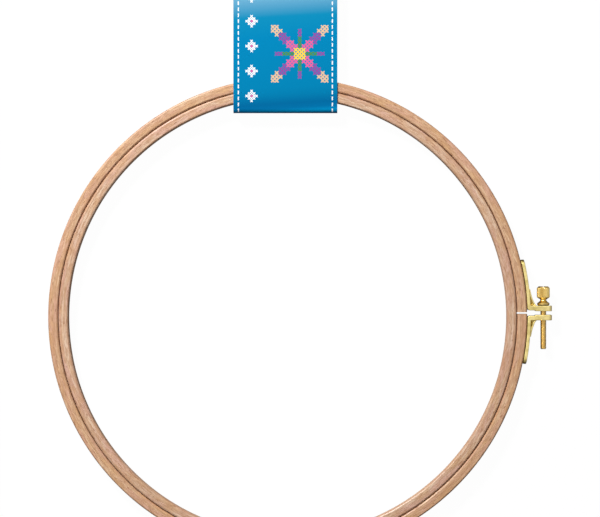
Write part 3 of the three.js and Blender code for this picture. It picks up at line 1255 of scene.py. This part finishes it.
    def _bead(self) -> BMesh:
        """Makes the thicker edge that runs down the gusset from the ear to the base.

        Solids that share a plane don't join reliably, so it is lifted and shortened a little, and no face of
        it lies in a face of the gusset.

        Returns:
            A closed mesh.
        """
        anchor = self.at((self.ear_gap + self.ear_thickness + self.gusset_length) / 2)
        bead, inside = self._gusset(self.bead_width), self._gusset(self.width)
        for bm, shift, share in (
            (bead, self.bead_lift, self.bead_share),
            (inside, -self.bead_thickness, self.bead_cut_share),
        ):
            for vert in bm.verts:
                vert.co.x += shift
                vert.co.y = anchor + (vert.co.y - anchor) * share
        return combined(bead, inside, Combine.CUT)

    def _mark_tip_shade(self, bm: BMesh) -> None:
        """Writes how much painted shade each vertex takes: fully at the base's tip, and none at the tip
        shade's length from it.

        Args:
            bm: The bracket's mesh.
        """
        layer = bm.verts.layers.float.new(TIP_SHADE)
        for vert in bm.verts:
            to_tip = self.base_length - self.side.value * (vert.co.y - self.split)
            part = min(1.0, max(0.0, 1 - to_tip / self.tip_shade_length))
            vert[layer] = part * part * (3 - 2 * part)

    def build(self, material: Material) -> None:
        """Joins the bracket's solids, cuts its channel and hole, rounds it like a casting and lets it ride.

        Args:
            material: Its brass plate.
        """
        body = combined(self._base(), self._ear(), Combine.JOIN)
        channel_width = self.width - 2 * self.rail_width
        channel = self._bar(
            self.rail_radius - self.groove_depth,
            self.rail_radius + self.groove_depth,
            (channel_width, channel_width),
            self.ear_far + self.channel_start,
            self.base_length - self.tip_rim,
        )
        body = combined(body, channel, Combine.CUT)
        body = combined(body, self._gusset(self.gusset_thickness), Combine.JOIN)
        flare = self._bar(
            self.rail_radius - self.groove_depth,
            self.rail_radius + self.gusset_flare,
            (channel_width + self.groove_depth, self.gusset_thickness),
            self.ear_far - self.ear_thickness / 2,
            self.gusset_length,
        )
        flare = combined(flare, self._gusset(self.width), Combine.KEEP_SHARED)
        body = combined(body, flare, Combine.JOIN)
        body = combined(body, self._bead(), Combine.JOIN)
        drill = bmesh.new()
        bmesh.ops.create_cone(
            drill,
            cap_ends=True,
            segments=self.hole_steps,
            radius1=self.hole_radius,
            radius2=self.hole_radius,
            depth=self.drill_length,
        )
        body = combined(body, along_y(drill, self.screw_x, self.at(self.ear_far)), Combine.CUT)
        body = self._cast(body)
        self._mark_tip_shade(body)
        word = self.side.name.lower()
        piece = finished(f"{word}_clamp_bracket", body, self.place, [material], sharp=180)
        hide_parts(f"{word}_bracket")
        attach(piece, f"{word}_half")

    def _cast(self, bm: BMesh) -> BMesh:
        """Rounds every edge of a mesh a little, as on a casting.

        Args:
            bm: A closed mesh with sharp edges.

        Returns:
            A fine mesh of even faces.
        """
        obj = mesh_object("casting", bm)
        modifier = obj.modifiers.new("even_faces", "REMESH")
        modifier.mode = "VOXEL"
        modifier.voxel_size = self.voxel
        fine = evaluated(obj)
        for _ in range(self.rounding):
            bmesh.ops.smooth_vert(
                fine,
                verts=fine.verts,
                factor=self.smoothing,
                use_axis_x=True,
                use_axis_y=True,
                use_axis_z=True,
            )
        return fine


@dataclass(frozen=True)
class ThumbScrew:
    """The clamp's M3 screw: a threaded stem, a conical flange, a waist and a knurled head with a slot."""

    place: Place
    axis_x: float
    end: float  # along Y
    seat: float  # the flange's underside, along Y
    top: float
    radius: float = 1.55
    pitch: float = 0.5
    thread_depth: float = 0.2
    crest_end: float = 0.36  # where the thread's crest ends, as a share of a pitch
    root_start: float = 0.58
    root_end: float = 0.78
    thread_steps: int = 40
    end_chamfer: float = 0.4
    flange_radius: float = 3.25
    flange_rim: float = 1.0
    flange_height: float = 2.0
    step_radius: float = 2.85
    step_height: float = 0.28  # fills what the CAD leaves clear above the ear
    waist_radius: float = 1.5
    waist_rise: float = 0.4  # where it is narrowest, as a share of the way from the flange to the head
    flare_power: float = 1.5  # 1 is a straight cone, more is hollower
    flare_steps: int = 9
    edge: float = 0.12  # broken edges
    rim_chamfer: float = 0.3  # of the flange's edge towards the ear
    head_radius: float = 3.35
    head_height: float = 6.1
    head_chamfer: float = 0.9
    foot_chamfer: float = 0.5
    teeth: int = 30
    tooth_depth: float = 0.25
    tooth_power: float = 1.3  # 1 is a sharp crest, more is a rounder one
    tooth_steps: int = 6
    foot_rows: int = 6  # of faces up the head's lower chamfer
    knurl_rows: int = 5
    top_rows: int = 10
    flange_steps: int = 96
    slot_width: float = 0.9
    slot_depth: float = 0.6

    @property
    def foot(self) -> float:
        """The head's lower end, above the seat."""
        return self.top - self.seat - self.head_height

    def _stem(self) -> BMesh:
        """Winds one pitch of the thread's outline up the stem, with height 0 at the flange's seat.

        Returns:
            A closed mesh.
        """
        length = self.seat - self.end
        crest, root = self.radius, self.radius - self.thread_depth
        shares = (0.0, self.crest_end, self.root_start, self.root_end, 1.0)
        # It starts two turns below the stem's end and goes on into the flange. Both its ends are cut off.
        start = -length - 2 * self.pitch
        heights = [start + self.pitch * share for share in shares]
        bm = bmesh.new()
        outline = [(r, 0.0, height) for r, height in zip((crest, crest, root, root, crest), heights)]
        section = chain(bm, outline, closed=False)
        turns = math.ceil((length + self.flange_rim) / self.pitch) + 3
        bmesh.ops.spin(
            bm,
            geom=section,
            cent=MIDDLE,
            axis=UP,
            dvec=(0, 0, self.pitch / self.thread_steps),
            angle=FULL_TURN * turns,
            steps=self.thread_steps * turns,
        )
        outward(bm)
        cut_flat(bm, (0, 0, -length), (0, 0, -1))
        cut_flat(bm, (0, 0, self.flange_rim / 2), (0, 0, 1))
        for vert in bm.verts:
            limit = self.radius - self.end_chamfer + (vert.co.z + length)
            vert.co.xy *= min(1.0, limit / max(vert.co.xy.length, SAME))
        return outward(bm)

    def _flange(self) -> BMesh:
        """Turns the flange and the waist above it.

        Returns:
            A closed mesh.
        """
        waist = self.flange_height + (self.foot - self.flange_height) * self.waist_rise
        flare = self.flange_radius - self.waist_radius
        foot_flare = self.head_radius - self.foot_chamfer - self.waist_radius
        parts = [step / self.flare_steps for step in range(self.flare_steps + 1)]
        cone = [
            (
                self.waist_radius + flare * (1 - part) ** self.flare_power,
                self.flange_rim + (waist - self.flange_rim) * part,
            )
            for part in parts
        ]
        neck = [
            (self.waist_radius + foot_flare * part**self.flare_power, waist + (self.foot - waist) * part)
            for part in parts[1:]
        ]
        profile = [
            (0.0, -self.step_height),
            (self.step_radius, -self.step_height),
            (self.step_radius, 0.0),
            (self.flange_radius - self.rim_chamfer, 0.0),
            (self.flange_radius, self.rim_chamfer),
            (self.flange_radius, self.flange_rim - self.edge),
            *cone[1:],
            *neck,
            (0.0, self.foot + self.head_height / 2),
        ]
        return turned(profile, self.flange_steps)

    def _head(self) -> BMesh:
        """Raises the head from a circle, presses its straight knurl in and chamfers both its ends.

        Returns:
            A closed mesh.
        """
        top = self.foot + self.head_height
        bm = bmesh.new()
        circle = bmesh.ops.create_circle(
            bm, cap_ends=False, segments=self.teeth * self.tooth_steps, radius=self.head_radius
        )
        bmesh.ops.translate(bm, vec=(0, 0, self.foot), verts=circle["verts"])
        plain = self.head_height - self.foot_chamfer - self.head_chamfer
        rim = bm.edges[:]
        for height, rows in (
            (self.foot_chamfer, self.foot_rows),
            (plain, self.knurl_rows),
            (self.head_chamfer, self.top_rows),
        ):
            for _ in range(rows):
                rim = drawn_out(bm, rim, (0, 0, height / rows))
        closed_up(bm)
        for vert in bm.verts:
            turn = (math.atan2(vert.co.y, vert.co.x) / FULL_TURN * self.teeth) % 1
            knurled = self.head_radius - self.tooth_depth * abs(2 * turn - 1) ** self.tooth_power
            from_foot = self.head_radius - self.foot_chamfer + (vert.co.z - self.foot)
            from_top = self.head_radius - self.head_chamfer + (top - vert.co.z)
            vert.co.xy = vert.co.xy.normalized() * min(knurled, from_foot, from_top)
        half = self.slot_width / 2
        reach = 2 * self.head_radius
        slot = block((-half, -reach, top - self.slot_depth), (half, reach, top + 1))
        return combined(outward(bm), slot, Combine.CUT)

    def build(self, brass: Material, gap_shade: Material) -> None:
        """Joins the screw's parts into one piece and lets it ride.

        Args:
            brass: Its turned brass.
            gap_shade: Painted shade for the gap by the ear, on the narrow step and the flange's chamfer.
        """
        body = combined(self._flange(), self._head(), Combine.JOIN)
        body = combined(body, self._stem(), Combine.JOIN)
        for face in body.faces:
            middle = face.calc_center_median()
            # The step and the flange's chamfer by the ear take painted shade.
            by_ear = -self.step_height < middle.z < self.rim_chamfer
            face.material_index = 1 if by_ear and middle.xy.length > self.radius + SAME else 0
        along_y(body, self.axis_x, self.seat)
        piece = finished("knurled_thumb_screw", body, self.place, [brass, gap_shade], sharp=32)
        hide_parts("clamp_screw")
        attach(piece, "screw")


@dataclass(frozen=True)
class Nail:
    """A wire nail with a domed head, driven towards the rings' axis. Millimetres."""

    radius: float = 0.6
    head_radius: float = 1.4
    head_height: float = 0.45
    rim_share: float = 0.35  # of the head's height, below its dome
    edge: float = 0.08  # broken edges
    length: float = 4.6
    point: float = 1.2
    head_steps: int = 6
    round_steps: int = 32
    sunk: float = 0.1  # deeper than in the CAD, as the bracket is

    def build(self, place: Place, side: Side, number: int, material: Material) -> None:
        """Makes one nail where its CAD node is and lets it ride.

        Args:
            place: The rings' place.
            side: Which half it is in.
            number: Which of that half's nails it is.
            material: Its steel.
        """
        word = side.name.lower()
        node = f"{word}_nail_{number}"
        tip, _ = nearest_and_farthest(place, bpy.data.objects[node])
        rim = self.length + self.head_height * self.rim_share
        rise = self.head_height * (1 - self.rim_share)
        angles = [QUARTER * step / self.head_steps for step in range(self.head_steps + 1)]
        dome = [(self.head_radius * math.cos(angle), rim + rise * math.sin(angle)) for angle in angles]
        profile = [
            (0.0, 0.0),
            (self.radius, self.point),
            (self.radius, self.length),
            (self.head_radius - self.edge, self.length),
            (self.head_radius, self.length + self.edge),
            *dome,
        ]
        bm = turned(profile, self.round_steps)
        outwards = Vector((tip.x, tip.y, 0)).normalized()
        turn = Vector(UP).rotation_difference(outwards).to_matrix().to_4x4()
        start = outwards * (tip.xy.length - self.sunk)
        bmesh.ops.transform(bm, matrix=Matrix.Translation(start) @ turn, verts=bm.verts)
        piece = finished(f"{word}_bracket_nail_{number}", bm, place, [material], sharp=40)
        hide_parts(node)
        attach(piece, f"{word}_half")


@dataclass(frozen=True)
class FoldedCard:
    """A printed card folded round both rings. Millimetres."""

    place: Place
    low: Vector
    high: Vector
    thickness: float = 0.4
    fold_radius: float = 2.4
    columns: int = 28
    rows: int = 36
    bend_steps: int = 10
    droop: float = 0.3  # how far the front panel sinks at its fold
    droop_reach: float = 9.0  # how far from the fold it still sinks, and the lean still counts
    droop_power: float = 1.5  # 1 is even, more brings it nearer to the fold
    lift: float = 0.5  # how far its free corners curl up
    lift_power: float = 3.0  # 1 is even, more brings it nearer to the free end
    curl: tuple[float, float, float] = (0.3, 0.5, 0.2)  # shares of the lift: even, both sides, right
    lean: float = 0.6  # how far the back panel's fold stays behind the front panel's

    @property
    def width(self) -> float:
        """The card's width."""
        return self.high.x - self.low.x

    @property
    def length(self) -> float:
        """The card's length unfolded, at its outer face: two panels, the spine and two quarter bends."""
        corners = 2 * (self.high.y - self.low.y) + self.high.z - self.low.z
        return corners - (4 - math.pi) * self.fold_radius

    def _outer_line(self) -> list[tuple[float, float]]:
        """Draws the outer face seen along X, from the front panel's top round the fold to the back's.

        Returns:
            Its points, Y and Z.
        """
        bend_y = self.low.y + self.fold_radius
        top_z, foot_z = self.high.z - self.fold_radius, self.low.z + self.fold_radius
        panel = [self.high.y + (bend_y - self.high.y) * row / self.rows for row in range(self.rows)]
        line = [(y, self.high.z) for y in panel]
        for middle_z, start in ((top_z, QUARTER), (foot_z, 2 * QUARTER)):
            for step in range(self.bend_steps + 1):
                angle = start + QUARTER * step / self.bend_steps
                y = bend_y + self.fold_radius * math.cos(angle)
                line.append((y, middle_z + self.fold_radius * math.sin(angle)))
        return line + [(y, self.low.z) for y in reversed(panel)]

    def _sheet(self) -> BMesh:
        """Draws the outer line out across the card's width, with its print coordinates.

        Returns:
            The card's outer face.
        """
        bm = bmesh.new()
        line = self._outer_line()
        way = bm.verts.layers.float.new("way")
        gone = 0.0
        previous = line[0]
        for vert, point in zip(chain(bm, [(self.low.x, y, z) for y, z in line], closed=False), line):
            gone += math.dist(previous, point)
            vert[way] = gone
            previous = point
        rim = bm.edges[:]
        for _ in range(self.columns):
            rim = drawn_out(bm, rim, (self.width / self.columns, 0, 0))
        layer = bm.loops.layers.uv.new(PRINT)
        for face in bm.faces:
            for loop in face.loops:
                across = (loop.vert.co.x - self.low.x) / self.width
                loop[layer].uv = (across, loop.vert[way] / self.length)
        bm.verts.layers.float.remove(way)
        return bm

    def _shape_by_hand(self, bm: BMesh) -> None:
        """Lets the spine lean, and the front panel sink at its fold and curl a little at its free corners.

        Args:
            bm: The card's outer face.
        """
        middle_x = (self.low.x + self.high.x) / 2
        panel = self.high.y - self.low.y
        bend_z = self.high.z - self.fold_radius
        even, sides, right = self.curl
        for vert in bm.verts:
            foot = 1 - (vert.co.z - self.low.z) / (self.high.z - self.low.z)
            vert.co.y += self.lean * foot * max(0.0, 1 - (vert.co.y - self.low.y) / self.droop_reach)
            if vert.co.z < bend_z:
                continue
            up = (vert.co.y - self.low.y) / panel
            aside = (vert.co.x - middle_x) / (self.width / 2)
            near_fold = max(0.0, 1 - (vert.co.y - self.low.y) / self.droop_reach)
            into_bend = (vert.co.z - bend_z) / self.fold_radius
            curl = self.lift * up**self.lift_power * (even + sides * aside**2 + right * aside)
            vert.co.z += curl - self.droop * near_fold**self.droop_power * into_bend

    def build(self, printed: Material, bare: Material) -> None:
        """Makes the card and lets its front panel open at the crease.

        Args:
            printed: The outer face's material.
            bare: The inner face's and the cut edges'.
        """
        bm = self._sheet()
        self._shape_by_hand(bm)
        outer = set(bm.faces)
        bmesh.ops.solidify(bm, geom=bm.faces[:], thickness=-self.thickness)
        for face in bm.faces:
            face.material_index = 0 if face in outer else 1
        piece = finished("folded_card", bm, self.place, [printed, bare], sharp=40)
        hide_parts("card_back", "card_front")
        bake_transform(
            piece,
            "card",
            "card_flap",
            start=self.place.point(0, 0, self.high.z - self.fold_radius),
            end=self.place.point(0, 0, self.high.z - self.thickness),
        )


# The studio


@dataclass(frozen=True)
class Studio:
    """A white table in plain soft light, seen from straight above. Metres, and watts for the lamp."""

    camera_x: float = -0.00006
    camera_y: float = -0.00015
    camera_height: float = 1.3987
    view_range: tuple[float, float] = (0.05, 60.0)  # how near and how far the camera sees
    lens: float = 159.9  # in millimetres, as is the sensor
    sensor: float = 36.0
    floor_size: float = 12.0
    floor_drop: float = 0.0002
    floor_glow: float = 0.98  # how bright the camera sees it in the dark
    floor_shadow: float = 0.025  # how much of the light on it the camera sees besides
    floor_bounce: str = "#969088"  # its colour as the hoop sees it
    key_place: tuple[float, float, float] = (-0.62, 1.0, 1.02)
    key_size: float = 0.32
    key_power: float = 33.6
    ambient: float = 0.17
    glow_reach: tuple[float, float] = (0.55, 0.97)  # cosine of the angle from the key, at its edge and core
    glow: tuple[float, float] = (0.6, 1.5)  # how bright metal sees the room there
    horizon: float = 0.35  # how bright it sees the room at the table's level
    horizon_height: float = 0.35  # up to which it is dimmer, as the sine of the angle from the table

    def _camera(self) -> None:
        """Hangs the camera over the hoop, looking straight down."""
        data = bpy.data.cameras.new("camera")
        data.lens = self.lens
        data.sensor_width = self.sensor
        data.sensor_fit = "HORIZONTAL"
        data.clip_start, data.clip_end = self.view_range
        camera = bpy.data.objects.new("camera", data)
        camera.location = (self.camera_x, self.camera_y, self.camera_height)
        bpy.context.scene.collection.objects.link(camera)
        bpy.context.scene.camera = camera

    def _key(self) -> None:
        """Sets the soft key lamp, above and to the left."""
        data = bpy.data.lights.new("key", "AREA")
        data.shape = "DISK"
        data.size = self.key_size
        data.energy = self.key_power
        lamp = bpy.data.objects.new("key", data)
        lamp.location = self.key_place
        lamp.rotation_mode = "QUATERNION"
        lamp.rotation_quaternion = (-Vector(self.key_place)).to_track_quat("-Z", "Y")
        bpy.context.scene.collection.objects.link(lamp)

    def _world(self) -> None:
        """Lights the room evenly. The camera sees white, and metal a dim room with a glow round the key."""
        world = bpy.data.worlds.new("studio")
        bpy.context.scene.world = world
        tree = empty_tree(world)
        rays = add_node(tree, "LightPath").outputs
        direction = add_node(tree, "TexCoord").outputs["Generated"]
        height = add_node(tree, "SeparateXYZ", {0: direction}).outputs["Z"]
        to_key = tuple(Vector(self.key_place).normalized())
        near_key = add_node(tree, "VectorMath", {0: direction, 1: to_key}, operation="DOT_PRODUCT")
        edge, core = self.glow_reach
        low, high = self.glow
        spread = {"Value": near_key, "From Min": edge, "From Max": core, "To Min": low, "To Max": high}
        glow = add_node(tree, "MapRange", spread, interpolation_type="SMOOTHSTEP")
        rise = {"Value": height, "From Max": self.horizon_height, "To Min": self.horizon, "To Max": glow}
        mirrored = add_node(tree, "MapRange", rise)
        shiny = {0: rays["Is Glossy Ray"], 1: rays["Is Transmission Ray"]}
        either = add_node(tree, "Math", shiny, operation="MAXIMUM")
        level = add_node(tree, "Mix", {0: either, 2: self.ambient, 3: mirrored}, data_type="FLOAT")
        seen = add_node(tree, "Mix", {0: rays["Is Camera Ray"], 2: level, 3: 1.0}, data_type="FLOAT")
        sky = add_node(tree, "Background", {"Color": linear("#FFFFFF"), "Strength": seen})
        add_node(tree, "OutputWorld", {"Surface": sky})

    def _floor(self) -> None:
        """Lays the white table, which keeps a faint shadow of the hoop."""
        bm = bmesh.new()
        bmesh.ops.create_grid(bm, x_segments=1, y_segments=1, size=self.floor_size / 2)
        bmesh.ops.translate(bm, vec=(0, 0, -self.floor_drop), verts=bm.verts)
        floor = mesh_object("table", bm)
        material = bpy.data.materials.new("white_table")
        tree = empty_tree(material)
        # White emulsion, which the camera sees as evenly bright and the hoop as a plain greyish table.
        seen = add_node(tree, "LightPath").outputs["Is Camera Ray"]
        bounce = add_node(tree, "BsdfDiffuse", {"Color": linear(self.floor_bounce)})
        glow = add_node(tree, "Emission", {"Color": linear("#FFFFFF"), "Strength": self.floor_glow})
        shadow = add_node(tree, "BsdfDiffuse", {"Color": (*(self.floor_shadow,) * 3, 1)})
        bright = add_node(tree, "AddShader", {0: glow, 1: shadow})
        surface = add_node(tree, "MixShader", {0: seen, 1: bounce, 2: bright})
        add_node(tree, "OutputMaterial", {"Surface": surface})
        floor.data.materials.append(material)

    def build(self) -> None:
        """Sets up the camera, the light and the table."""
        bpy.context.scene.view_settings.view_transform = "Standard"
        self._camera()
        self._key()
        self._world()
        self._floor()


@dataclass(frozen=True)
class Clamp:
    """The screw clamp on the outer ring's split: two brackets, their nails and the thumb screw."""

    place: Place
    rings: Rings
    seat: float  # where the screw's flange sits on the upper ear, along Y
    upper_hole: float = 1.7
    lower_hole: float = 1.85  # wider, as the screw leans there when the clamp opens
    nails_per_bracket: int = 2

    def build(self) -> None:
        """Makes the clamp's pieces."""
        # Bright brass electroplate over a zinc casting: pale, a fine orange peel, with painted olive shade
        # at the tips.
        plate = BareMetal(
            name="brass_plate",
            bright="#F2DE98",
            dull="#CAB66E",
            roughness=(0.34, 0.52),
            grain=(0.7, 0.7, 0.7),
            bump_height=0.02,
            tarnish_size=3.0,
            tip_shade_colour="#6A5A24",
        )
        # Free-cutting brass, turned from bar: golden, with fine marks round its axis.
        brass = BareMetal(
            name="turned_brass",
            bright="#F4D688",
            dull="#E6C06A",
            roughness=(0.2, 0.34),
            grain=(1.5, 0.12, 1.5),
            bump_height=0.006,
        )
        # Painted shade: the same brass, dull and nearly black, in the gap beside the ear where the flange
        # sits.
        gap_shade = BareMetal(
            name="brass_painted_shade",
            bright="#4A3A1E",
            dull="#2A2010",
            roughness=(0.5, 0.7),
            grain=(0.4, 0.4, 0.4),
            bump_height=0.01,
        )
        # Drawn steel wire, its head pressed: grey and half bright.
        steel = BareMetal(
            name="nail_steel",
            bright="#C2BDB0",
            dull="#9C978B",
            roughness=(0.3, 0.45),
            grain=(0.5, 0.5, 0.5),
            bump_height=0.01,
        )
        cast, wire = plate.material(), steel.material()
        screw_low, screw_high = self.place.box("clamp_screw")
        screw_x = (screw_low.x + screw_high.x) / 2
        for side in Side:
            word = side.name.lower()
            low, high = self.place.box(f"{word}_bracket")
            tip = high.y if side is Side.UPPER else low.y
            bracket = Bracket(
                side=side,
                place=self.place,
                split=self.rings.outer.split,
                base_length=abs(tip - self.rings.outer.split),
                screw_x=screw_x,
                ear_tip=high.x,
                ring_radius=self.rings.outer.outer,
                hole_radius=self.upper_hole if side is Side.UPPER else self.lower_hole,
            )
            bracket.build(cast)
            for number in range(1, self.nails_per_bracket + 1):
                Nail().build(self.place, side, number, wire)
        screw = ThumbScrew(self.place, axis_x=screw_x, end=screw_low.y, seat=self.seat, top=screw_high.y)
        screw.build(brass.material(), gap_shade.material())


def dress_card(place: Place) -> None:
    """Makes the folded card with its print.

    Args:
        place: The rings' place.
    """
    low, high = place.box("card_back", "card_front")
    card = FoldedCard(place, low, high)
    yellow, pink, purple = "#F6CF4A", "#E0609C", "#8E4C9E"
    leaf, white, wood = "#4E8A4A", "#F4F6F6", "#E2BC98"
    flower = Stitches(
        middle=(card.width / 2 + 7.5, 49),
        cell=2.0,
        diagonal=((0, yellow), (2, pink), (4, purple), (6, wood), (8, None)),
        straight=((0, yellow), (2, leaf), (5, purple), (7, None)),
    )
    bud = Stitches(
        middle=(9.5, 6),
        cell=1.3,
        diagonal=((0, white), (2, None)),
        straight=((0, pink), (1, white), (3, None)),
        repeat=13.0,
    )
    print_finish = CoatedCard(
        "coated_carton",
        card.width,
        card.length,
        ground_and_fold_shade=(
            (0, "#B4C8E0"),
            (20, "#6CA8C8"),
            (31, "#0A86B2"),
            (42, "#0080B2"),
            (68, "#007CAC"),
            # From here down, the colours darken with painted shade round the fold.
            (72, "#0076A6"),
            (76.5, "#006599"),
            (79, "#006CA2"),
            (81, "#0088BE"),
            (84, "#006094"),
        ),
        figures=(bud, flower),
    )
    card.build(print_finish.material(), BareBoard(card.width, card.length).material())


def main() -> None:
    """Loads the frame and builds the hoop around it."""
    logging.basicConfig(level=logging.INFO, format="%(name)s: %(message)s")
    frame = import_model()
    place = place_of_rings()
    Studio().build()
    rings = Rings.from_frame(place, frame["nodes"])
    rings.build()
    screw_joint = next(joint for joint in frame["joints"] if joint["child"] == "screw")
    Clamp(place, rings, (screw_joint["pos_m"][1] - place.origin.y) / MM).build()
    dress_card(place)


if __name__ == "__main__":
    main()
